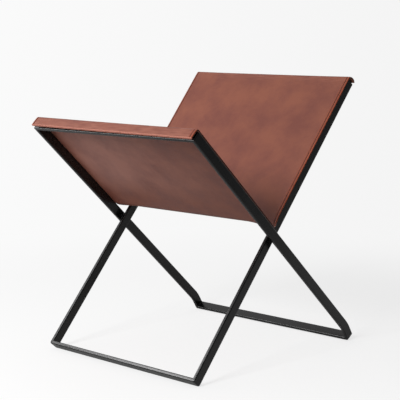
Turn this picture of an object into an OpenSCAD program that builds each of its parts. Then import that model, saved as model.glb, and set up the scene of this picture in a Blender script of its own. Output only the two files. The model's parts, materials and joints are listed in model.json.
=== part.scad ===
// Magazine rack: two rectangular frames of flat steel bar cross like scissors and turn on
// flush pins, and a sheet of thick leather hangs in the V between them.
// The frames stand on the lower edges of their bottom bars, on z = 0. X runs across the V,
// from the front (-X) to the back (+X), Y runs along the bars, and the origin is on the
// floor in the middle of the rack.

/* [Flat bar] */
// Width of the flat bar, square to the plane of its frame
bar_w = 15; // [10:0.5:20]
// Thickness of the flat bar
bar_t = 5.5; // [4:0.5:8]
// Radius of the outer corners where the legs turn into the bottom bar
corner_r = 3; // [1:0.5:8]

/* [Frames] */
// Width of the inner frame over its legs
inner_frame_w = 299.5; // [240:0.5:400]
// Gap between an inner leg and the outer leg beside it
leg_gap = 6.5; // [4:0.1:12]
// Height of the pivots above the floor
pivot_h = 185.5; // [150:0.5:230]
// Lean of the inner legs from upright
inner_lean = 41.4; // [34:0.1:48]
// Lean of the outer legs from upright
outer_lean = 47.4; // [40:0.1:54]
// Length of the inner legs above the pivots
inner_upper = 293.5; // [230:0.5:340]
// Length of the outer legs above the pivots
outer_upper = 235; // [180:0.5:260]
// Length of the steeper foot at the lower end of an outer leg
foot_len = 23; // [14:1:35]
// Lean of that foot from upright
foot_lean = 32; // [24:1:38]

/* [Pivots] */
// Diameter of the pivot pin
pin_d = 7; // [5:0.5:8]
// Diameter of the pin's flush heads
pin_head_d = 10; // [8.5:0.5:10]
// Depth of the flush heads
pin_head_h = 1.8; // [1:0.1:2.5]
// Outside diameter of the spacer bush
bush_d = 11.5; // [9.5:0.5:13]
// Running clearance on the radius around a pin
pin_clear = 0.05; // [0.02:0.01:0.1]
// End play between a bush and the inner leg
bush_play = 0.1; // [0.05:0.05:0.5]

/* [Leather] */
// Thickness of the leather
leather_t = 3; // [2:0.5:4.5]
// Radius of the fold at the bottom of the V, on its lower side
fold_r = 25; // [14:1:34]
// Distance of the sling's side edges from the outer frame's outer faces
sling_inset = 2.75; // [0:0.25:8]
// Radius of the leather where it turns over a top bar
wrap_r = 5; // [3:0.5:6]
// Height at which the stiff leather arches over the outer frame's top bar
front_gap = 2; // [0:0.25:3]
// Height at which it lies over the inner frame's top bar
back_gap = 0.25; // [0:0.25:3]
// Clearance between the fold and the back panel, which turn against each other
soft_clear = 0.3; // [0.2:0.1:1]

/* [Hidden] */

RIGHT = -1;
LEFT = 1;
outer_frame_w = inner_frame_w + 2 * (bar_t + leg_gap);

// The inner legs reach the floor straight, and the outer legs by way of their feet.
inner_lower = (pivot_h - bar_w / 2 * sin(inner_lean)) / cos(inner_lean);
outer_lower =
    (pivot_h - foot_len * cos(foot_lean) - bar_w / 2 * sin(foot_lean)) / cos(outer_lean);
foot_bend = outer_lean - foot_lean;

// The rack is centred on the origin between the ends of its two wraps, or between the front
// wrap and the outer frame's toes where these reach further back.
front_top = outer_upper + front_gap + leather_t;
back_top = inner_upper + back_gap + leather_t;
front_reach = front_top * sin(outer_lean) + bar_w / 2 * cos(outer_lean);
back_reach = back_top * sin(inner_lean) + bar_w / 2 * cos(inner_lean);
toe_reach =
    outer_lower * sin(outer_lean) + foot_len * sin(foot_lean) + bar_w / 2 * cos(foot_lean);
pivot_x = (front_reach - max(back_reach, toe_reach)) / 2;

// The fold is an arc that touches the upper edges of both frames.
half_open = (inner_lean + outer_lean) / 2;
fold_up = 90 + (outer_lean - inner_lean) / 2;
fold_distance = (bar_w / 2 + fold_r) / sin(half_open);
panel_start = fold_distance * cos(half_open);
fold_x = pivot_x + fold_distance * cos(fold_up);
fold_z = pivot_h + fold_distance * sin(fold_up);
fold_from = 180 + outer_lean;
fold_to = 360 - inner_lean;

sling_w = outer_frame_w - 2 * sling_inset;

STEEL = [0.13, 0.13, 0.14];
PIVOT = [0.35, 0.36, 0.38];
LEATHER = [0.55, 0.33, 0.27];
ARC_STEPS = 24;

// A frame's own space: +Z runs up its legs from the pivots, and +X is the side towards the V.
module outer_space() {
    translate([pivot_x, 0, pivot_h]) rotate([0, -outer_lean, 0]) children();
}

module inner_space() {
    translate([pivot_x, 0, pivot_h]) rotate([0, inner_lean, 0]) mirror([1, 0, 0]) children();
}

// The outer frame's feet: +Z runs up the foot from its lower end.
module foot_space() {
    outer_space()
        translate([0, 0, -outer_lower])
            rotate([0, foot_bend, 0])
                translate([0, 0, -foot_len])
                    children();
}

// Extrudes an outline drawn in X and Z evenly to both sides of y = 0.
module across(width) {
    rotate([90, 0, 0]) linear_extrude(height = width, center = true) children();
}

// Points of a round corner, drawn from one angle to another.
function arc(centre, r, from, to, steps = ARC_STEPS) =
    [for (i = [0:steps]) let (a = from + (to - from) * i / steps)
        [centre[0] + r * cos(a), centre[1] + r * sin(a)]];

// A pin with a flush head at each end, from the outer leg's outer face inwards along +Z.
module pin_body(extra = 0) {
    length = 2 * bar_t + leg_gap;
    cylinder(h = length, d = pin_d + 2 * extra, $fn = 48);
    cylinder(h = pin_head_h, d1 = pin_head_d + 2 * extra, d2 = pin_d + 2 * extra, $fn = 48);
    translate([0, 0, length - pin_head_h])
        cylinder(h = pin_head_h, d1 = pin_d + 2 * extra, d2 = pin_head_d + 2 * extra, $fn = 48);
}

// Puts a pivot's pieces, which run inwards along +Z, on one side of the rack.
module at_pivot(side) {
    translate([pivot_x, side * outer_frame_w / 2, pivot_h]) rotate([side * 90, 0, 0]) children();
}

module outer_leg(side) {
    h = bar_w / 2;
    kink = h * tan(foot_bend / 2);
    foot_end = foot_len - bar_t;
    toe = [-foot_end * sin(foot_bend), -outer_lower - foot_end * cos(foot_bend)];
    across_toe = [h * cos(foot_bend), -h * sin(foot_bend)];
    color(STEEL)
        difference() {
            translate([0, side * (outer_frame_w - bar_t) / 2, 0])
                outer_space()
                    across(bar_t)
                        polygon([
                            [-h, outer_upper], [h, outer_upper], [h, -outer_lower - kink],
                            toe + across_toe, toe - across_toe, [-h, -outer_lower + kink]
                        ]);
            at_pivot(side) pin_body();
        }
}

module inner_leg(side) {
    color(STEEL)
        difference() {
            translate([0, side * (inner_frame_w - bar_t) / 2, 0])
                inner_space()
                    translate([-bar_w / 2, -bar_t / 2, bar_t - inner_lower])
                        cube([bar_w, bar_t, inner_lower - bar_t + inner_upper]);
            at_pivot(side) pin_body(pin_clear);
        }
}

// A top bar, welded between the upper ends of a frame's legs.
module top_bar(frame_w, upper) {
    length = frame_w - 2 * bar_t;
    translate([-bar_w / 2, -length / 2, upper - bar_t]) cube([bar_w, length, bar_t]);
}

// A bottom bar, under the lower ends of a frame's legs, with its two outer corners round.
module bottom_bar(frame_w) {
    r = min(corner_r, bar_t);
    edge = frame_w / 2;
    rotate([90, 0, 90])
        linear_extrude(height = bar_w, center = true)
            polygon(concat(
                [[edge, bar_t], [-edge, bar_t]],
                arc([r - edge, r], r, 180, 270),
                arc([edge - r, r], r, 270, 360)
            ));
}

module outer_top_bar() {
    color(STEEL) outer_space() top_bar(outer_frame_w, outer_upper);
}

module outer_bottom_bar() {
    color(STEEL) foot_space() bottom_bar(outer_frame_w);
}

module inner_top_bar() {
    color(STEEL) inner_space() top_bar(inner_frame_w, inner_upper);
}

module inner_bottom_bar() {
    color(STEEL) inner_space() translate([0, 0, -inner_lower]) bottom_bar(inner_frame_w);
}

module pivot_pin(side) {
    color(PIVOT) at_pivot(side) pin_body();
}

// Holds the legs apart: it sits on the outer leg and the inner leg turns beside it.
module spacer_bush(side) {
    length = leg_gap - bush_play;
    color(PIVOT)
        at_pivot(side)
            translate([0, 0, bar_t])
                difference() {
                    cylinder(h = length, d = bush_d, $fn = 48);
                    translate([0, 0, -1]) cylinder(h = length + 2, d = pin_d + 2 * pin_clear, $fn = 48);
                }
}

// A panel of the sling: it lies on a frame's edges, turns over the top bar and ends flush
// with the bar's lower edge.
module panel(top, start) {
    h = bar_w / 2;
    under = top - leather_t;
    face = h + leather_t;
    across(sling_w)
        polygon(concat(
            [[face, start], [h, start], [h, under], [-h, under], [-h, top]],
            arc([face - wrap_r, top - wrap_r], wrap_r, 90, 0)
        ));
}

module sling_front() {
    color(LEATHER) outer_space() panel(front_top, panel_start);
}

module sling_back() {
    color(LEATHER) inner_space() panel(back_top, panel_start + soft_clear);
}

module sling_fold() {
    r = fold_r - soft_clear;
    color(LEATHER)
        translate([fold_x, 0, fold_z])
            across(sling_w)
                polygon(concat(
                    arc([0, 0], r, fold_from, fold_to),
                    arc([0, 0], r - leather_t, fold_to, fold_from)
                ));
}

outer_leg(RIGHT);  // outer_leg_right
outer_leg(LEFT);  // outer_leg_left
outer_top_bar();
outer_bottom_bar();
inner_leg(RIGHT);  // inner_leg_right
inner_leg(LEFT);  // inner_leg_left
inner_top_bar();
inner_bottom_bar();
pivot_pin(RIGHT);  // pivot_pin_right
pivot_pin(LEFT);  // pivot_pin_left
spacer_bush(RIGHT);  // spacer_bush_right
spacer_bush(LEFT);  // spacer_bush_left
sling_front();
sling_back();
sling_fold();
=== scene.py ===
import json
import math

import bmesh
import bpy
from bpy.props import FloatProperty, FloatVectorProperty, PointerProperty, StringProperty
from bpy.types import Operator, Panel, PropertyGroup
from mathutils import Matrix, Vector, noise


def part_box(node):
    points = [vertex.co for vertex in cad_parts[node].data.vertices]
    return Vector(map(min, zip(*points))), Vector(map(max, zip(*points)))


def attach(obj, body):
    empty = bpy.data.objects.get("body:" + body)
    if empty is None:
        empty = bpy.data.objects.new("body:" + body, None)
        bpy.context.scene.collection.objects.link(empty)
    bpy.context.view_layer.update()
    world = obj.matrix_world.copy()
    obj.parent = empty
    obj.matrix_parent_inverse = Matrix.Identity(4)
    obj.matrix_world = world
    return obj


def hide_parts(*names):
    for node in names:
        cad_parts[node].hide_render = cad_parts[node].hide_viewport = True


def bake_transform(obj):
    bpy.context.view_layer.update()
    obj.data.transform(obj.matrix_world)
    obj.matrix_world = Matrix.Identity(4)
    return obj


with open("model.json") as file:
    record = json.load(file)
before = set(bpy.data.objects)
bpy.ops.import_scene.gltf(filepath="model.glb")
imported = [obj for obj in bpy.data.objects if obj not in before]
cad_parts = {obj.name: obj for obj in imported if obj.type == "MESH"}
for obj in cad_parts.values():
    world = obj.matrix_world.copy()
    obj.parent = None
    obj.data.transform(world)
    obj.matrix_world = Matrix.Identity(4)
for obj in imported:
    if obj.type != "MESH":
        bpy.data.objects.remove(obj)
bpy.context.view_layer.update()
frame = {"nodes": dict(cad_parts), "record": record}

bl_info = {
    "name": "Magazine Rack",
    "version": (1, 0, 0),
    "blender": (4, 5, 0),
    "location": "View3D > Sidebar > Magazine Rack",
    "description": "Dresses a folding magazine rack: flat-bar frames, pivots and a leather sling",
    "category": "Object",
}

HINGE = Vector(frame["record"]["behaviour"]["joints"][0]["pos_m"])
MM = 0.001
OUTER, INNER = "outer_frame", "inner_frame"

# The camera's own right, back and up axes. It stands off along the back axis from a point over
# the pivots, and a little to its right and up.
AZIMUTH, ELEVATION = math.radians(-47.89), math.radians(8.02)
RIGHT = Vector((math.cos(AZIMUTH), math.sin(AZIMUTH), 0))
BACK = Vector((math.sin(AZIMUTH) * math.cos(ELEVATION),
               -math.cos(AZIMUTH) * math.cos(ELEVATION), math.sin(ELEVATION)))
UP = BACK.cross(RIGHT)
AIM = Vector((HINGE.x - 1.4 * MM, 0, 200 * MM))
TO_RIGHT, TO_UP, DISTANCE = 9.73 * MM, 27.35 * MM, 1718.06 * MM
CAMERA = AIM + RIGHT * TO_RIGHT + UP * TO_UP + BACK * DISTANCE


def linear(hex_colour):
    """An sRGB hex colour as linear red, green, blue and alpha."""
    channels = [int(hex_colour.lstrip("#")[i:i + 2], 16) / 255 for i in (0, 2, 4)]
    return [c / 12.92 if c <= 0.04045 else ((c + 0.055) / 1.055) ** 2.4 for c in channels] + [1.0]


def ramp(value, start, end):
    """0 at start and before it, 1 at end and past it, and straight in between."""
    return min(1.0, max(0.0, (value - start) / (end - start)))


def ease(share):
    """Turns a straight ramp from 0 to 1 into one that starts and ends gently."""
    return share * share * (3 - 2 * share)


# ---------------------------------------------------------------- settings

class RackSteelSettings(PropertyGroup):
    """Sizes of the two flat-bar frames and the colours of their paint."""

    bar_width: FloatProperty(
        name="Bar width", description="Width of the flat bar, square to its frame",
        default=0.015, unit="LENGTH")
    bar_thickness: FloatProperty(
        name="Bar thickness", description="Thickness of the flat bar",
        default=0.0055, unit="LENGTH")
    arris: FloatProperty(
        name="Arris", description="Radius of the bar's worn long edges",
        default=0.0015, unit="LENGTH")
    corner: FloatProperty(
        name="Corner radius", description="Radius of the outer corners at the floor",
        default=0.003, unit="LENGTH")
    outer_width: FloatProperty(
        name="Outer frame width", description="Width of the outer frame over its legs",
        default=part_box("outer_bottom_bar")[1][1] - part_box("outer_bottom_bar")[0][1], unit="LENGTH")
    inner_width: FloatProperty(
        name="Inner frame width", description="Width of the inner frame over its legs",
        default=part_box("inner_bottom_bar")[1][1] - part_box("inner_bottom_bar")[0][1], unit="LENGTH")
    outer_lean: FloatProperty(
        name="Outer lean", description="Lean of the outer legs from upright",
        default=math.radians(47.4), subtype="ANGLE")
    inner_lean: FloatProperty(
        name="Inner lean", description="Lean of the inner legs from upright",
        default=math.radians(41.4), subtype="ANGLE")
    outer_upper: FloatProperty(
        name="Outer upper length", description="Length of the outer legs above the pivots",
        default=0.235, unit="LENGTH")
    inner_upper: FloatProperty(
        name="Inner upper length", description="Length of the inner legs above the pivots",
        default=0.2935, unit="LENGTH")
    foot_lean: FloatProperty(
        name="Foot lean", description="Lean of the outer frame's feet from upright",
        default=math.radians(32), subtype="ANGLE")
    foot_length: FloatProperty(
        name="Foot length", description="Length of the outer frame's steeper feet",
        default=0.023, unit="LENGTH")
    foot_bend: FloatProperty(
        name="Foot bend radius", description="Radius of the bend above each foot",
        default=0.06, unit="LENGTH")
    paint: StringProperty(
        name="Paint", description="sRGB hex colour of the powder coat", default="#09090a")
    paint_dark: StringProperty(
        name="Dark paint", description="sRGB hex colour of the coat's darker clouds",
        default="#050506")


class RackLeatherSettings(PropertyGroup):
    """Sizes and colours of the leather sling."""

    thickness: FloatProperty(
        name="Thickness", description="Thickness of the leather", default=0.003, unit="LENGTH")
    front_right: FloatProperty(
        name="Front right edge", description="Place of the front panel's right edge",
        default=-0.161, unit="LENGTH")
    front_left: FloatProperty(
        name="Front left edge", description="Place of the front panel's left edge",
        default=0.1585, unit="LENGTH")
    back_right: FloatProperty(
        name="Back right edge", description="Place of the back panel's right edge",
        default=-0.152, unit="LENGTH")
    back_left: FloatProperty(
        name="Back left edge", description="Place of the back panel's left edge at the top",
        default=0.1645, unit="LENGTH")
    fold_radius: FloatProperty(
        name="Fold radius", description="Radius of the fold's lower side",
        default=0.025, unit="LENGTH")
    fold_right: FloatProperty(
        name="Fold radius, right", description="Radius of the fold at the sheet's right edge",
        default=0.013, unit="LENGTH")
    fold_left: FloatProperty(
        name="Fold radius, left", description="Radius of the fold at the sheet's left edge",
        default=0.021, unit="LENGTH")
    wrap_radius: FloatProperty(
        name="Wrap radius", description="Outer radius where the leather turns over a top bar",
        default=0.005, unit="LENGTH")
    front_gap: FloatProperty(
        name="Front gap", description="Height at which the leather arches over the front top bar",
        default=0.002, unit="LENGTH")
    back_gap: FloatProperty(
        name="Back gap", description="Height at which it lies over the back top bar",
        default=0.00025, unit="LENGTH")
    front_spring: FloatProperty(
        name="Front spring", description="How much more the front wrap's flap springs up",
        default=0.0008, unit="LENGTH")
    back_spring: FloatProperty(
        name="Back spring", description="How much more the back wrap's flap springs up",
        default=0.0029, unit="LENGTH")
    front_swing: FloatProperty(
        name="Front swing", description="How far along a sine wave the front wrap's flap arches",
        default=math.radians(112), subtype="ANGLE")
    back_swing: FloatProperty(
        name="Back swing", description="How far along a sine wave the back wrap's flap arches",
        default=math.radians(155), subtype="ANGLE")
    back_short: FloatProperty(
        name="Back shortfall", description="How far the back wrap ends short of its bar's edge",
        default=0.0025, unit="LENGTH")
    wrap_skew: FloatProperty(
        name="Wrap skew", description="How much higher the wraps stand at their left ends",
        default=0.0026, unit="LENGTH")
    colour: StringProperty(
        name="Colour", description="sRGB hex colour of the hide's face", default="#965946")
    dark: StringProperty(
        name="Dark mottle", description="sRGB hex colour of the hide's darker clouds",
        default="#834a3e")
    # Partly painted sheen: this grey is laid on the underside most towards the left.
    underside: StringProperty(
        name="Underside", description="sRGB hex colour that greys the hide's underside",
        default="#b58478")
    # Partly painted sheen: the pale streaks also stand in for the wrap's sheen.
    stretch_and_sheen: StringProperty(
        name="Stretched", description="sRGB hex colour of the streaks over the top bars",
        default="#9c6150")
    # Also laid on the underside by the fold and the left leg, as painted shade.
    crease_and_shade: StringProperty(
        name="Crease", description="sRGB hex colour of the burnt crease beside each long edge",
        default="#4b2519")
    # Also painted on a strip of the face along its front end, as a painted highlight.
    raw_and_highlight: StringProperty(
        name="Raw edge", description="sRGB hex colour of the untreated cut at the two ends",
        default="#bc7866")
    rubbed: StringProperty(
        name="Rubbed edge", description="sRGB hex colour of the face's rubbed long edges",
        default="#a04c30")
    # Partly painted shade: the long edges are near black, darker than their dye, as they look in
    # shade.
    burnished_and_shaded: StringProperty(
        name="Burnished edge", description="sRGB hex colour of the dyed and rubbed long edges",
        default="#060404")


class RackStageSettings(PropertyGroup):
    """Colour and light of the studio."""

    ground: FloatVectorProperty(
        name="Ground", description="Colour of the studio's floor and backdrop",
        default=(0.55, 0.55, 0.55), subtype="COLOR", min=0.0, max=1.0)
    key_power: FloatProperty(
        name="Key light", description="Power of the large soft lamp", default=44.0, unit="POWER")
    high_strip_power: FloatProperty(
        name="High strip", description="Power of the higher lamp that only the gloss shows",
        default=1.8, unit="POWER")
    low_strip_power: FloatProperty(
        name="Low strip", description="Power of the lower lamp that only the gloss shows",
        default=7.0, unit="POWER")
    ambient: FloatProperty(
        name="Ambient", description="Strength of the soft light from the lit side of the room",
        default=0.5)
    base_ambient: FloatProperty(
        name="Base ambient", description="Strength of the soft light from every side",
        default=0.1)


# ---------------------------------------------------------------- nodes and finishes

def add_node(tree, kind, inputs=None, **settings):
    """Adds one node, with its settings and with values or links for its inputs."""
    made = tree.nodes.new(kind)
    for key, value in settings.items():
        setattr(made, key, value)
    for key, value in (inputs or {}).items():
        socket = made.inputs[key]
        if isinstance(value, bpy.types.NodeSocket):
            tree.links.new(value, socket)
        else:
            socket.default_value = value
    return made


def ramp_stops(made, stops):
    """Sets a colour ramp's stops from (position, colour) pairs."""
    elements = made.color_ramp.elements
    while len(elements) < len(stops):
        elements.new(0.5)
    for element, (position, colour) in zip(elements, stops):
        element.position = position
        element.color = colour
    return made


def new_material(name):
    """An empty node material and its output."""
    material = bpy.data.materials.new(name)
    material.use_nodes = True
    material.node_tree.nodes.clear()
    output = add_node(material.node_tree, "ShaderNodeOutputMaterial")
    return material, material.node_tree, output


def studio_white(tree, direction, place, unlit, lit, dark):
    """The backdrop's strength, the room's own light and what the camera sees.

    The last is 1 for what it sees straight, in gloss or through glass. The backdrop is a
    little dimmer to the right, and the room is unlit on that side of the rack, as its gloss
    shows: between the two given values of place's Y the light comes up from dark.
    """
    across = add_node(tree, "ShaderNodeVectorMath", {0: direction, 1: RIGHT},
                      operation="DOT_PRODUCT")
    white = add_node(tree, "ShaderNodeMapRange", {
        "Value": across.outputs["Value"], "From Min": -0.18, "From Max": 0.18,
        "To Min": 0.957, "To Max": 0.906})
    depth = add_node(tree, "ShaderNodeSeparateXYZ", {"Vector": place})
    room = add_node(tree, "ShaderNodeMapRange", {
        "Value": depth.outputs["Y"], "From Min": unlit, "From Max": lit,
        "To Min": dark, "To Max": 0.8}, interpolation_type="SMOOTHSTEP")
    rays = add_node(tree, "ShaderNodeLightPath")
    level = add_node(tree, "ShaderNodeMath", {
        0: rays.outputs["Is Camera Ray"], 1: room.outputs["Result"]}, operation="MAXIMUM")
    strength = add_node(tree, "ShaderNodeMath", {
        0: white.outputs["Result"], 1: level.outputs["Value"]}, operation="MULTIPLY")
    seen = add_node(tree, "ShaderNodeMath", {
        0: rays.outputs["Is Camera Ray"], 1: rays.outputs["Is Glossy Ray"]},
        operation="MAXIMUM")
    seen = add_node(tree, "ShaderNodeMath", {
        0: seen.outputs["Value"], 1: rays.outputs["Is Transmission Ray"]},
        operation="MAXIMUM")
    return strength.outputs["Value"], room.outputs["Result"], seen.outputs["Value"]


def powder_coated_steel(steel):
    """Mild steel, powder coated satin black.

    The coat gives a soft sheen along the flats and a fine orange peel that breaks the
    highlights on the arrises. It is a plastic film, so it reflects as one and not as metal.
    """
    material, tree, output = new_material("powder_coated_mild_steel")
    place = add_node(tree, "ShaderNodeTexCoord").outputs["Object"]
    # Orange peel, about 1.2 mm from crest to crest.
    peel = add_node(tree, "ShaderNodeTexNoise", {
        "Vector": place, "Scale": 1 / (1.2 * MM), "Detail": 2.0, "Roughness": 0.5})
    # Handling marks, about 25 mm long, that only change the gloss.
    rub = add_node(tree, "ShaderNodeTexNoise", {
        "Vector": place, "Scale": 1 / (25 * MM), "Detail": 4.0, "Roughness": 0.6})
    gloss = add_node(tree, "ShaderNodeMapRange", {
        "Value": rub.outputs["Fac"], "From Min": 0.3, "From Max": 0.7,
        "To Min": 0.22, "To Max": 0.32})
    tone = ramp_stops(
        add_node(tree, "ShaderNodeValToRGB", {"Fac": rub.outputs["Fac"]}),
        [(0.3, linear(steel.paint_dark)), (0.7, linear(steel.paint))])
    bump = add_node(tree, "ShaderNodeBump", {
        "Height": peel.outputs["Fac"], "Strength": 0.25, "Distance": 0.05 * MM})
    shader = add_node(tree, "ShaderNodeBsdfPrincipled", {
        "Base Color": tone.outputs["Color"], "Metallic": 0.0, "IOR": 1.5,
        "Roughness": gloss.outputs["Result"],
        "Normal": bump.outputs["Normal"]})
    tree.links.new(shader.outputs["BSDF"], output.inputs["Surface"])
    return material


def saddle_leather(leather):
    """Vegetable-tanned saddle leather, dyed chestnut through and waxed.

    The hide takes dye unevenly, so it shows clouds a few centimetres wide. Wax gives it a
    soft sheen, fine pores break it up, and where it is pulled round a bar it is paler in
    streaks, partly stretched dye and partly painted sheen. Shade is painted in too: darker
    towards the right edge, on the underside, and by the fold and the left leg.
    """
    material, tree, output = new_material("vegetable_tanned_saddle_leather")
    place = add_node(tree, "ShaderNodeUVMap", uv_map="hide").outputs["UV"]
    # Clouds in the dye, about 45 mm across, and flecks of about 9 mm in them.
    clouds = add_node(tree, "ShaderNodeTexNoise", {
        "Vector": place, "Scale": 1 / (45 * MM), "Detail": 3.0, "Roughness": 0.5},
        noise_dimensions="2D")
    flecks = add_node(tree, "ShaderNodeTexNoise", {
        "Vector": place, "Scale": 1 / (9 * MM), "Detail": 5.0, "Roughness": 0.65},
        noise_dimensions="2D")
    blend = add_node(tree, "ShaderNodeMix", {
        "Factor": 0.2, "A": clouds.outputs["Fac"], "B": flecks.outputs["Fac"]})
    face = ramp_stops(
        add_node(tree, "ShaderNodeValToRGB", {"Fac": blend.outputs["Result"]}),
        [(0.32, linear(leather.dark)), (0.66, linear(leather.colour))])
    # Painted shade: the colour is a little darker towards the sling's right edge, away from the
    # light. Its underside is painted darker still, most at the right, and greyer, partly a greyer
    # hide and partly painted sheen; it is waxed hardest at the left.
    right, left = -160 * MM, 160 * MM
    y = add_node(tree, "ShaderNodeSeparateXYZ", {"Vector": place}).outputs["Y"]
    painted_shade_to_right = add_node(tree, "ShaderNodeMapRange", {
        "Value": y, "From Min": right, "From Max": left, "To Min": 0.88, "To Max": 1.06})
    under = add_node(tree, "ShaderNodeAttribute", attribute_name="under")
    # Painted shade: the underside is darkened by a third at the right and a tenth at the left.
    darker = add_node(tree, "ShaderNodeMapRange", {
        "Value": y, "From Min": right, "From Max": left, "To Min": -0.33, "To Max": -0.1})
    depth = add_node(tree, "ShaderNodeMath", {
        0: under.outputs["Fac"], 1: darker.outputs["Result"], 2: 1.0},
        operation="MULTIPLY_ADD")
    depth = add_node(tree, "ShaderNodeMath", {
        0: depth.outputs["Value"], 1: painted_shade_to_right.outputs["Result"]}, operation="MULTIPLY")
    hide = add_node(tree, "ShaderNodeVectorMath", {
        0: face.outputs["Color"], "Scale": depth.outputs["Value"]}, operation="SCALE")
    # Partly painted sheen: the underside is greyed, most towards the left.
    pale = add_node(tree, "ShaderNodeMapRange", {
        "Value": y, "From Min": right, "From Max": 120 * MM, "To Min": 0.08, "To Max": 0.38})
    uneven = add_node(tree, "ShaderNodeMapRange", {
        "Value": blend.outputs["Result"], "From Min": 0.35, "From Max": 0.62,
        "To Min": 0.7, "To Max": 1.3})
    pale = add_node(tree, "ShaderNodeMath", {
        0: pale.outputs["Result"], 1: uneven.outputs["Result"]}, operation="MULTIPLY")
    pale = add_node(tree, "ShaderNodeMath", {
        0: under.outputs["Fac"], 1: pale.outputs["Value"]}, operation="MULTIPLY")
    hide = add_node(tree, "ShaderNodeMix", {
        "Factor": pale.outputs["Value"], "A": hide.outputs["Vector"],
        "B": linear(leather.underside)}, data_type="RGBA")
    harder = add_node(tree, "ShaderNodeMapRange", {
        "Value": y, "From Min": right, "From Max": 80 * MM, "To Min": 0.02, "To Max": 0.22})
    wax = add_node(tree, "ShaderNodeMath", {
        0: under.outputs["Fac"], 1: harder.outputs["Result"], 2: 0.28},
        operation="MULTIPLY_ADD")
    # Over a top bar the face goes paler in fine streaks about 2 mm apart, partly stretched
    # leather and partly painted sheen.
    stretch = add_node(tree, "ShaderNodeAttribute", attribute_name="stretch")
    streaks_place = add_node(tree, "ShaderNodeMapping", {
        "Vector": place, "Scale": (1.0, 0.12, 1.0)})
    streaks = add_node(tree, "ShaderNodeTexNoise", {
        "Vector": streaks_place.outputs["Vector"], "Scale": 1 / (2.5 * MM), "Detail": 3.0},
        noise_dimensions="2D")
    streak_amount = add_node(tree, "ShaderNodeMapRange", {
        "Value": streaks.outputs["Fac"], "From Min": 0.35, "From Max": 0.7})
    paler = add_node(tree, "ShaderNodeMath", {
        0: stretch.outputs["Fac"], 1: streak_amount.outputs["Result"]}, operation="MULTIPLY")
    stretch_and_sheen = add_node(tree, "ShaderNodeMix", {
        "Factor": paler.outputs["Value"], "A": hide.outputs["Result"],
        "B": linear(leather.stretch_and_sheen)}, data_type="RGBA")
    # Along the long edges the wax is rubbed through to a redder tan, inside a burnt crease.
    rub = add_node(tree, "ShaderNodeAttribute", attribute_name="rub")
    rubbed = add_node(tree, "ShaderNodeMix", {
        "Factor": rub.outputs["Fac"], "A": stretch_and_sheen.outputs["Result"],
        "B": linear(leather.rubbed)}, data_type="RGBA")
    # On the underside the crease colour is also painted shade, by the fold and the left leg.
    crease_and_shade = add_node(tree, "ShaderNodeAttribute", attribute_name="crease_and_shade")
    with_crease_and_shade = add_node(tree, "ShaderNodeMix", {
        "Factor": crease_and_shade.outputs["Fac"], "A": rubbed.outputs["Result"],
        "B": linear(leather.crease_and_shade)}, data_type="RGBA")
    # Pores, about 0.9 mm apart.
    pores = add_node(tree, "ShaderNodeTexVoronoi", {
        "Vector": place, "Scale": 1 / (0.9 * MM)}, voronoi_dimensions="2D",
        feature="SMOOTH_F1")
    bump = add_node(tree, "ShaderNodeBump", {
        "Height": pores.outputs["Distance"], "Strength": 0.25, "Distance": 0.15 * MM})
    swell = add_node(tree, "ShaderNodeBump", {
        "Height": flecks.outputs["Fac"], "Strength": 0.3, "Distance": 0.5 * MM,
        "Normal": bump.outputs["Normal"]})
    gloss = add_node(tree, "ShaderNodeMapRange", {
        "Value": clouds.outputs["Fac"], "From Min": 0.3, "From Max": 0.7,
        "To Min": 0.46, "To Max": 0.6})
    polished = add_node(tree, "ShaderNodeMath", {
        0: rub.outputs["Fac"], 1: -0.25, 2: gloss.outputs["Result"]}, operation="MULTIPLY_ADD")
    shader = add_node(tree, "ShaderNodeBsdfPrincipled", {
        "Base Color": with_crease_and_shade.outputs["Result"], "Roughness": polished.outputs["Value"],
        "IOR": 1.48, "Specular IOR Level": wax.outputs["Value"],
        "Normal": swell.outputs["Normal"]})
    tree.links.new(shader.outputs["BSDF"], output.inputs["Surface"])
    return material


def cut_leather(name, colour, roughness, fibre_mm):
    """The cut side of thick hide: short fibres that make it matt and a little uneven."""
    material, tree, output = new_material(name)
    place = add_node(tree, "ShaderNodeTexCoord").outputs["Object"]
    fibres = add_node(tree, "ShaderNodeTexNoise", {
        "Vector": place, "Scale": 1 / (fibre_mm * MM), "Detail": 4.0, "Roughness": 0.7})
    paler = [min(1.0, c * 1.25) for c in linear(colour)[:3]] + [1.0]
    darker = [c * 0.72 for c in linear(colour)[:3]] + [1.0]
    tone = ramp_stops(
        add_node(tree, "ShaderNodeValToRGB", {"Fac": fibres.outputs["Fac"]}),
        [(0.3, darker), (0.7, paler)])
    bump = add_node(tree, "ShaderNodeBump", {
        "Height": fibres.outputs["Fac"], "Strength": 0.4, "Distance": 0.2 * MM})
    shader = add_node(tree, "ShaderNodeBsdfPrincipled", {
        "Base Color": tone.outputs["Color"], "Roughness": roughness, "IOR": 1.45,
        "Normal": bump.outputs["Normal"]})
    tree.links.new(shader.outputs["BSDF"], output.inputs["Surface"])
    return material


# ---------------------------------------------------------------- mesh helpers

def spot(body, y, s, q):
    """A place by its frame: s runs up the legs from the pivots, q towards the V."""
    steel = bpy.context.scene.rack_steel
    lean = -steel.outer_lean if body == OUTER else steel.inner_lean
    towards = 1 if body == OUTER else -1
    x = HINGE.x + s * math.sin(lean) + towards * q * math.cos(lean)
    z = HINGE.z + s * math.cos(lean) - towards * q * math.sin(lean)
    return Vector((x, y, z))


def link(name, mesh):
    """A new object for a mesh, in the scene."""
    made = bpy.data.objects.new(name, mesh)
    bpy.context.scene.collection.objects.link(made)
    return made


def apply_modifiers(obj):
    """Applies every modifier of a mesh object, in order."""
    bpy.context.view_layer.objects.active = obj
    for modifier in list(obj.modifiers):
        bpy.ops.object.modifier_apply(modifier=modifier.name)


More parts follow.
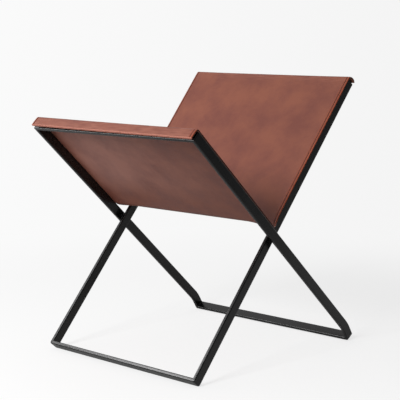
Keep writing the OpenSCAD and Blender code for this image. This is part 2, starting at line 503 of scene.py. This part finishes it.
def soften(obj, radius, segments=3):
    """Rounds the sharp edges and evens the shading of the flats between them."""
    bevel = obj.modifiers.new("arris", "BEVEL")
    bevel.width = radius
    bevel.segments = segments
    bevel.limit_method = "ANGLE"
    bevel.angle_limit = math.radians(40)
    bevel.harden_normals = True
    for polygon in obj.data.polygons:
        polygon.use_smooth = True


# ---------------------------------------------------------------- pieces

def bar_frame(name, width, upper, lower, place, extra=()):
    """A closed frame of flat bar: legs, top bar and bottom bar, welded and ground flush.

    place(y, s, q) gives a point, and extra holds more heights where the legs need a ring.
    """
    steel = bpy.context.scene.rack_steel
    t = steel.bar_thickness
    half = steel.bar_width / 2
    r = steel.corner
    edge = width / 2
    turns = [math.radians(90 * i / 6) for i in range(7)]
    outside = [(edge, upper), (edge, upper)]
    inside = [(edge - t, upper - t), (edge - t, upper - t)]
    for s in sorted(extra, reverse=True):
        outside.append((edge, s))
        inside.append((edge - t, s))
    for a in turns:
        outside.append((edge - r + r * math.cos(a), lower + r - r * math.sin(a)))
        inside.append((edge - t, lower + t))
    outside = outside[1:] + [(-y, s) for y, s in reversed(outside[1:])]
    inside = inside[1:] + [(-y, s) for y, s in reversed(inside[1:])]
    bm = bmesh.new()
    rings = []
    for (yo, so), (yi, si) in zip(outside, inside):
        rings.append([bm.verts.new(p) for p in (
            place(yo, so, -half), place(yo, so, half), place(yi, si, half), place(yi, si, -half))])
    for a, b in zip(rings, rings[1:] + rings[:1]):
        for i in range(4):
            bm.faces.new((a[i], a[(i + 1) % 4], b[(i + 1) % 4], b[i]))
    bmesh.ops.remove_doubles(bm, verts=bm.verts, dist=1e-6)
    bmesh.ops.recalc_face_normals(bm, faces=bm.faces)
    mesh = bpy.data.meshes.new(name)
    bm.to_mesh(mesh)
    bm.free()
    made = link(name, mesh)
    soften(made, steel.arris)
    apply_modifiers(made)
    return made


def bore_pivots(obj):
    """Cuts the pin's seats out of a frame, the shape of the pins themselves."""
    for side in ("right", "left"):
        pin = frame["nodes"][f"pivot_pin_{side}"]
        cutter = link(f"seat_{side}", pin.data.copy())
        cutter.matrix_world = pin.matrix_world
        bpy.context.view_layer.update()
        cutter.data.transform(cutter.matrix_world)
        cutter.matrix_world = Matrix.Identity(4)
        # The seat is a hair wider than the pin and runs out past its heads.
        play, longer, core = 0.04 * MM, 1.02, 3 * MM
        middle = sum((v.co for v in cutter.data.vertices), Vector()) / len(cutter.data.vertices)
        for v in cutter.data.vertices:
            out = v.co - middle
            wider = 1 + play / max(core, Vector((out.x, 0, out.z)).length)
            v.co = middle + Vector((out.x * wider, out.y * longer, out.z * wider))
        cut = obj.modifiers.new("seat", "BOOLEAN")
        cut.operation = "DIFFERENCE"
        cut.solver = "EXACT"
        cut.object = cutter
        apply_modifiers(obj)
        bpy.data.objects.remove(cutter)
    # The cut disturbs the shading of the flats, so it is set again from the largest faces.
    obj.modifiers.new("flats", "WEIGHTED_NORMAL").weight = 100
    apply_modifiers(obj)


class RACK_OT_frames(Operator):
    """Makes the two painted flat-bar frames"""

    bl_idname = "rack.frames"
    bl_label = "Steel frames"

    def execute(self, context):
        steel = context.scene.rack_steel
        half = steel.bar_width / 2
        paint = powder_coated_steel(steel)

        inner_lower = (HINGE.z - half * math.sin(steel.inner_lean)) / math.cos(steel.inner_lean)
        inner = bar_frame(
            "inner_bar_frame", steel.inner_width, steel.inner_upper, -inner_lower,
            lambda y, s, q: spot(INNER, y, s, q))

        foot = steel.foot_length
        drop = foot * math.cos(steel.foot_lean) + half * math.sin(steel.foot_lean)
        kink = -(HINGE.z - drop) / math.cos(steel.outer_lean)
        turn = steel.outer_lean - steel.foot_lean
        radius = steel.foot_bend
        reach = radius * math.tan(turn / 2)

        def along_foot(y, s, q):
            """The outer frame's place, which follows the bend above the feet."""
            into = kink + reach - s
            if into <= 0:
                return spot(OUTER, y, s, q)
            angle = min(into / radius, turn)
            rest = max(0.0, into - radius * turn)
            # The bend turns about a centre on the far side from the V.
            s0 = kink + reach - (radius + q) * math.sin(angle)
            q0 = -radius + (radius + q) * math.cos(angle)
            return spot(OUTER, y, s0 - rest * math.cos(angle), q0 - rest * math.sin(angle))

        arc_length = radius * turn
        extra = [kink + reach - arc_length * i / 10 for i in range(11)]
        bottom = kink - foot + (2 * reach - arc_length)
        outer = bar_frame(
            "outer_bar_frame", steel.outer_width, steel.outer_upper, bottom, along_foot, extra)

        for made, body in ((inner, INNER), (outer, OUTER)):
            bore_pivots(made)
            made.data.materials.append(paint)
            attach(made, body)
            short = body.split("_")[0]
            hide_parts(f"{short}_leg_right", f"{short}_leg_left",
                        f"{short}_top_bar", f"{short}_bottom_bar")
        return {"FINISHED"}


class RACK_OT_pivots(Operator):
    """Finishes the flush pins and spacer bushes of the two pivots"""

    bl_idname = "rack.pivots"
    bl_label = "Pivots"

    def execute(self, context):
        paint = bpy.data.materials["powder_coated_mild_steel"]
        for name in ("pivot_pin_right", "pivot_pin_left", "spacer_bush_right", "spacer_bush_left"):
            node = frame["nodes"][name]
            node.data.materials.clear()
            node.data.materials.append(paint)
            bevel = node.modifiers.new("arris", "BEVEL")
            bevel.width = 0.2 * MM
            bevel.segments = 2
            bevel.limit_method = "ANGLE"
            bevel.angle_limit = math.radians(40)
        return {"FINISHED"}


# How many steps the sling's line takes along each flap, wrap and panel and round the fold.
FLAP_STEPS, WRAP_STEPS, PANEL_STEPS, FOLD_STEPS = 10, 8, 26, 28


def sling_path(leather, steel, fold_r):
    """The sling's line from its front end to its back end, and the fold's two ends.

    Each step is (length so far, point on the side that lies on the bars, outward direction,
    the frame's upward direction, stretch), all at y = 0. Stretch is 1 where the leather is
    pulled round a top bar, and dies out a little below it.
    """
    clear, pulled = 0.05 * MM, 14 * MM
    half = steel.bar_width / 2 + clear
    wrap_in = leather.wrap_radius - leather.thickness
    between = (steel.inner_lean + steel.outer_lean) / 2
    distance = (half + fold_r) / math.sin(between)
    start = distance * math.cos(between)
    points = []

    def place(body, s, q, angle, stretch):
        here = spot(body, 0, s, q)
        out = spot(body, 0, s + math.sin(angle), q + math.cos(angle)) - here
        up = spot(body, 0, s + 1, q) - here
        points.append((here, out.normalized(), up, stretch))

    def upper_half(body, top, spring, swing, short):
        """From a wrap's free edge over the top bar and down to the fold.

        The flap springs up along part of a sine wave, tips over before its free edge and ends
        short of the bar's edge.
        """
        edge = short - half
        flap = half - wrap_in - edge
        first = math.pi / 2 - math.atan(spring * swing / flap)
        q0 = half - wrap_in + wrap_in * math.cos(first)
        s0 = top - wrap_in + wrap_in * math.sin(first)
        steps = []
        for i in range(FLAP_STEPS):
            f = i / FLAP_STEPS
            rise = spring * math.sin(swing * (1 - f))
            slope = spring * swing / flap * math.cos(swing * (1 - f))
            steps.append((body, s0 + rise, edge + (q0 - edge) * f, math.atan2(1, slope), 1.0))
        for i in range(WRAP_STEPS + 1):
            a = first * (1 - i / WRAP_STEPS)
            q = half - wrap_in + wrap_in * math.cos(a)
            s = top - wrap_in + wrap_in * math.sin(a)
            steps.append((body, s, q, a, 1.0))
        length = top - wrap_in - start
        for i in range(1, PANEL_STEPS + 1):
            s = top - wrap_in - length * i / PANEL_STEPS
            steps.append((body, s, half, 0.0, ramp(top - s, pulled, 0.0)))
        return steps

    front = upper_half(OUTER, steel.outer_upper + leather.front_gap, leather.front_spring,
                       leather.front_swing, 0.0)
    for step in front:
        place(*step)
    begin = spot(OUTER, 0, start, half)
    end = spot(INNER, 0, start, half)
    inward = (spot(OUTER, 0, start, half + 1) - begin).normalized()
    centre = begin + inward * fold_r
    sweep = math.pi - 2 * between
    for i in range(1, FOLD_STEPS):
        turned = Matrix.Rotation(-sweep * i / FOLD_STEPS, 3, "Y") @ (begin - centre)
        points.append((centre + turned, -turned.normalized(), Vector(), 0.0))
    back = upper_half(INNER, steel.inner_upper + leather.back_gap, leather.back_spring,
                      leather.back_swing, leather.back_short)
    for step in reversed(back):
        place(*step)

    path = []
    length = 0.0
    before = points[0][0]
    for here, out, up, stretch in points:
        length += (here - before).length
        path.append((length, here, out, up, stretch))
        before = here
    return path, begin, end


def sheet_section(w):
    """The sheet's section from its right edge, at -w, to its left one, at w.

    Each step is (place, depth off each face, how rubbed the face is, how creased it is).
    """
    # In from the long edge, in mm: a rounded arris, then a crease, then the flat.
    edge = [
        (0.0, 1.15, 0.7, 0.0), (0.1, 0.75, 0.7, 0.0), (0.35, 0.38, 0.7, 0.0),
        (0.75, 0.12, 0.7, 0.0), (1.3, 0.0, 0.6, 0.0), (2.2, 0.0, 0.6, 0.0),
        (2.8, 0.2, 0.3, 0.6), (3.5, 0.6, 0.0, 1.0), (4.2, 0.2, 0.3, 0.6),
        (4.8, 0.0, 0.5, 0.0), (5.6, 0.0, 0.3, 0.0), (7.0, 0.0, 0.0, 0.0),
        (12.0, 0.0, 0.0, 0.0)]
    flat, steps = 12.0, 13
    edge += [(flat + (w / MM - flat) * i / steps, 0.0, 0.0, 0.0) for i in range(1, steps + 1)]
    across = [(-w + d * MM, off * MM, rub, crease_and_shade) for d, off, rub, crease_and_shade in edge]
    return across + [(-y, off, rub, crease_and_shade) for y, off, rub, crease_and_shade in reversed(across[:-1])]


class RACK_OT_sling(Operator):
    """Makes the leather sling as one sheet that runs from top bar to top bar"""

    bl_idname = "rack.sling"
    bl_label = "Leather sling"

    def execute(self, context):
        leather = context.scene.rack_leather
        steel = context.scene.rack_steel
        path, _, _ = sling_path(leather, steel, leather.fold_radius)
        t = leather.thickness
        total = path[-1][0]
        # The sheet is cut a little wider over the outer frame than over the inner one.
        fold_start, fold_end = 0.40 * total, 0.52 * total

        def edges(length):
            """The places of the sheet's right and left edges at a length along it."""
            narrower = ease(ramp(length, fold_start, fold_end))
            flare = ramp(length, fold_end, total)
            right = leather.front_right + (leather.back_right - leather.front_right) * narrower
            left = leather.front_left + (leather.back_left - leather.front_left) * flare
            return right, left

        w = (leather.front_left - leather.front_right) / 2
        across = sheet_section(w)

        def fold_radius(y):
            """The fold is drawn tighter towards the sheet's two long edges."""
            radius = leather.fold_radius
            for tight, inset in ((leather.fold_right, w + y), (leather.fold_left, w - y)):
                radius += (tight - leather.fold_radius) * ease(ramp(inset, 45 * MM, 0.0))
            return radius

        columns = [sling_path(leather, steel, fold_radius(y))[0] for y, _, _, _ in across]

        wave_height, wave_length = 0.35 * MM, 1 / 14
        whole, burnished_and_shaded, raw_and_highlight = 0, 1, 2
        bm = bmesh.new()
        hide = bm.loops.layers.uv.new("hide")
        layers = [bm.verts.layers.float.new(name)
                  for name in ("stretch", "rub", "crease_and_shade", "under")]
        where = {}
        rings = []
        for row, (length, _, _, _, stretch) in enumerate(path):
            right, left = edges(length)
            shift = (left + right) / 2
            scale = (left - right) / 2 / w
            # Painted shade: the underside is darkened and dulled by the fold and the left leg.
            shade_by_fold = ramp(length, 145 * MM, 195 * MM) * ramp(length, 340 * MM, 280 * MM)
            calm = min(1.0, 0.25 + abs(stretch - 1))
            face, back = [], []
            for (y, off, rub, crease_and_shade), column in zip(across, columns):
                _, here, out, up, _ = column[row]
                # The face rolls gently, but lies calmer where it is pulled round a bar.
                wave = noise.noise(Vector((length, y, 0.0)) / wave_length) * wave_height * calm
                skew = up * (leather.wrap_skew * stretch * ((y + w) / (2 * w)) ** 1.8)
                rounded = off * 0.6 if abs(y) > w - 1 * MM else 0.0
                shade_by_fold_and_leg = max(shade_by_fold * (0.55 + 0.45 * y / w), ramp(w - y, 18 * MM, 0.0))
                # Painted shade: by the fold and the left leg the underside takes the crease colour,
                # with less of its grey and wax.
                for store, depth, tone in (
                        (face, t - off + wave, (stretch, rub, crease_and_shade, 0.0)),
                        (back, rounded, (stretch, 0.0, 0.4 * shade_by_fold_and_leg, 1.0 - 0.8 * shade_by_fold_and_leg))):
                    v = bm.verts.new(here + skew + out * depth + Vector((0, y * scale + shift, 0)))
                    for layer, value in zip(layers, tone):
                        v[layer] = value
                    where[v] = (length, y)
                    store.append(v)
            rings.append((face, back))
        count = len(across)
        for (fa, ba), (fb, bb) in zip(rings, rings[1:]):
            for i in range(count - 1):
                skin = bm.faces.new((fa[i], fa[i + 1], fb[i + 1], fb[i]))
                # Painted highlight: along its front end the face takes the raw cut's pale colour.
                skin.material_index = raw_and_highlight if fa is rings[0][0] else whole
                bm.faces.new((ba[i + 1], ba[i], bb[i], bb[i + 1])).material_index = whole
            # Partly painted shade: the long cut edges take the near-black edge colour.
            bm.faces.new((ba[0], fa[0], fb[0], bb[0])).material_index = burnished_and_shaded
            bm.faces.new((fa[-1], ba[-1], bb[-1], fb[-1])).material_index = burnished_and_shaded
        for face, back in (rings[0], rings[-1]):
            for i in range(count - 1):
                cut = bm.faces.new((face[i], back[i], back[i + 1], face[i + 1]))
                cut.material_index = raw_and_highlight
        bmesh.ops.recalc_face_normals(bm, faces=bm.faces)
        for f in bm.faces:
            f.smooth = True
            for loop in f.loops:
                loop[hide].uv = where[loop.vert]
        mesh = bpy.data.meshes.new("leather_sling")
        bm.to_mesh(mesh)
        bm.free()
        mesh.set_sharp_from_angle(angle=math.radians(50))
        sling = link("leather_sling", mesh)
        mesh.materials.append(saddle_leather(leather))
        mesh.materials.append(cut_leather("burnished_and_shaded_leather_edge", leather.burnished_and_shaded, 0.75, 1.5))
        mesh.materials.append(cut_leather("raw_and_highlight_cut_leather", leather.raw_and_highlight, 0.85, 0.8))
        _, begin, end = sling_path(leather, steel, leather.fold_right)
        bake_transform(sling)
        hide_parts("sling_front", "sling_back", "sling_fold")
        return {"FINISHED"}


class RACK_OT_stage(Operator):
    """Sets up the pale floor, the soft studio light and the camera"""

    bl_idname = "rack.stage"
    bl_label = "Studio"

    def execute(self, context):
        stage = context.scene.rack_stage
        scene = context.scene

        floor_reach = 6.0
        ground = bpy.data.meshes.new("studio_floor")
        bm = bmesh.new()
        bmesh.ops.create_grid(bm, x_segments=1, y_segments=1, size=floor_reach)
        bm.to_mesh(ground)
        bm.free()
        floor = link("studio_floor", ground)
        material, tree, output = new_material("matt_studio_paper")
        # Far from the rack the paper runs into the backdrop without a line.
        place = add_node(tree, "ShaderNodeTexCoord").outputs["Object"]
        far = add_node(tree, "ShaderNodeVectorMath", {0: place}, operation="LENGTH")
        fade = add_node(tree, "ShaderNodeMapRange", {
            "Value": far.outputs["Value"], "From Min": 0.35, "From Max": 1.1},
            interpolation_type="SMOOTHSTEP")
        away = add_node(tree, "ShaderNodeVectorMath", {0: place, 1: CAMERA},
                        operation="SUBTRACT")
        away = add_node(tree, "ShaderNodeVectorMath", {0: away.outputs["Vector"]},
                        operation="NORMALIZE")
        strength, _, seen = studio_white(
            tree, away.outputs["Vector"], place, unlit=-1.1, lit=0.0, dark=0.2)
        paper = add_node(tree, "ShaderNodeBsdfDiffuse", {"Color": (*stage.ground, 1.0)})
        backdrop = add_node(tree, "ShaderNodeEmission", {"Strength": strength})
        # Near the rack the paper is lifted to white and keeps its shadows, which gloss shows
        # a little deeper.
        lift_level, camera_share, least_share = 2.13, 0.3, 0.05
        lifted = add_node(tree, "ShaderNodeMath", {0: strength, 1: lift_level},
                          operation="MULTIPLY")
        lift = add_node(tree, "ShaderNodeEmission", {"Strength": lifted.outputs["Value"]})
        straight = add_node(tree, "ShaderNodeLightPath").outputs["Is Camera Ray"]
        share = add_node(tree, "ShaderNodeMath", {0: straight, 1: camera_share, 2: least_share},
                         operation="MULTIPLY_ADD")
        near = add_node(tree, "ShaderNodeMixShader", {
            0: share.outputs["Value"], 1: paper.outputs["BSDF"], 2: lift.outputs["Emission"]})
        shown = add_node(tree, "ShaderNodeMixShader", {
            0: fade.outputs["Result"], 1: near.outputs["Shader"],
            2: backdrop.outputs["Emission"]})
        both = add_node(tree, "ShaderNodeMixShader", {
            0: seen, 1: paper.outputs["BSDF"], 2: shown.outputs["Shader"]})
        tree.links.new(both.outputs["Shader"], output.inputs["Surface"])
        ground.materials.append(material)

        world = bpy.data.worlds.new("studio")
        scene.world = world
        world.use_nodes = True
        tree = world.node_tree
        tree.nodes.clear()
        way = add_node(tree, "ShaderNodeTexCoord").outputs["Generated"]
        strength, room, seen = studio_white(tree, way, way, unlit=-0.8, lit=0.2, dark=0.03)
        white = (1.0, 1.0, 1.0, 1.0)
        backdrop = add_node(tree, "ShaderNodeBackground", {"Color": white, "Strength": strength})
        ambient = add_node(tree, "ShaderNodeMath", {
            0: room, 1: stage.ambient, 2: stage.base_ambient}, operation="MULTIPLY_ADD")
        even = add_node(tree, "ShaderNodeBackground", {
            "Color": white, "Strength": ambient.outputs["Value"]})
        pick = add_node(tree, "ShaderNodeMixShader", {
            0: seen, 1: even.outputs["Background"], 2: backdrop.outputs["Background"]})
        output = add_node(tree, "ShaderNodeOutputWorld")
        tree.links.new(pick.outputs["Shader"], output.inputs["Surface"])

        # Soft lamps that face the rack, with their places and their widths and heights. The
        # key lights it. Two strips past its front left corner only show in its gloss: the high
        # one as light lines along the bars' upper edges, the low one along the front edges.
        for name, place, size, power in (
                ("key", (-2.3, -0.17, 1.38), (0.75, 0.75), stage.key_power),
                ("high_strip", (-0.58, 0.72, 0.78), (0.45, 0.3), stage.high_strip_power),
                ("low_strip", (-0.85, 0.63, 0.58), (0.6, 0.45), stage.low_strip_power)):
            data = bpy.data.lights.new(name, "AREA")
            data.shape = "RECTANGLE"
            data.size, data.size_y = size
            data.energy = power
            made = bpy.data.objects.new(name, data)
            scene.collection.objects.link(made)
            made.location = place
            towards = Vector((0, 0, 0.2)) - made.location
            made.rotation_euler = towards.to_track_quat("-Z", "Y").to_euler()
            made.visible_diffuse = name == "key"

        camera = bpy.data.cameras.new("camera")
        camera.lens = 101.35
        camera.sensor_width = 36.0
        made = bpy.data.objects.new("camera", camera)
        scene.collection.objects.link(made)
        turn = Matrix((RIGHT, UP, BACK)).transposed().to_4x4()
        made.matrix_world = Matrix.Translation(CAMERA) @ turn
        scene.camera = made
        scene.view_settings.view_transform = "Standard"
        return {"FINISHED"}


class RACK_PT_panel(Panel):
    """Lists the rack's settings and the operators that make its pieces"""

    bl_idname = "RACK_PT_panel"
    bl_label = "Magazine Rack"
    bl_space_type = "VIEW_3D"
    bl_region_type = "UI"
    bl_category = "Magazine Rack"

    def draw(self, context):
        for group in ("rack_steel", "rack_leather", "rack_stage"):
            settings = getattr(context.scene, group)
            box = self.layout.box()
            for name in settings.__annotations__:
                box.prop(settings, name)
        for operator in OPERATORS:
            self.layout.operator(operator.bl_idname)


OPERATORS = (RACK_OT_stage, RACK_OT_frames, RACK_OT_pivots, RACK_OT_sling)
CLASSES = (RackSteelSettings, RackLeatherSettings, RackStageSettings, *OPERATORS, RACK_PT_panel)


def register():
    for made in CLASSES:
        bpy.utils.register_class(made)
    bpy.types.Scene.rack_steel = PointerProperty(type=RackSteelSettings)
    bpy.types.Scene.rack_leather = PointerProperty(type=RackLeatherSettings)
    bpy.types.Scene.rack_stage = PointerProperty(type=RackStageSettings)


def unregister():
    for group in ("rack_steel", "rack_leather", "rack_stage"):
        delattr(bpy.types.Scene, group)
    for made in reversed(CLASSES):
        bpy.utils.unregister_class(made)


def main():
    register()
    bpy.ops.rack.stage()
    bpy.ops.rack.frames()
    bpy.ops.rack.pivots()
    bpy.ops.rack.sling()


if __name__ == "__main__":
    main()
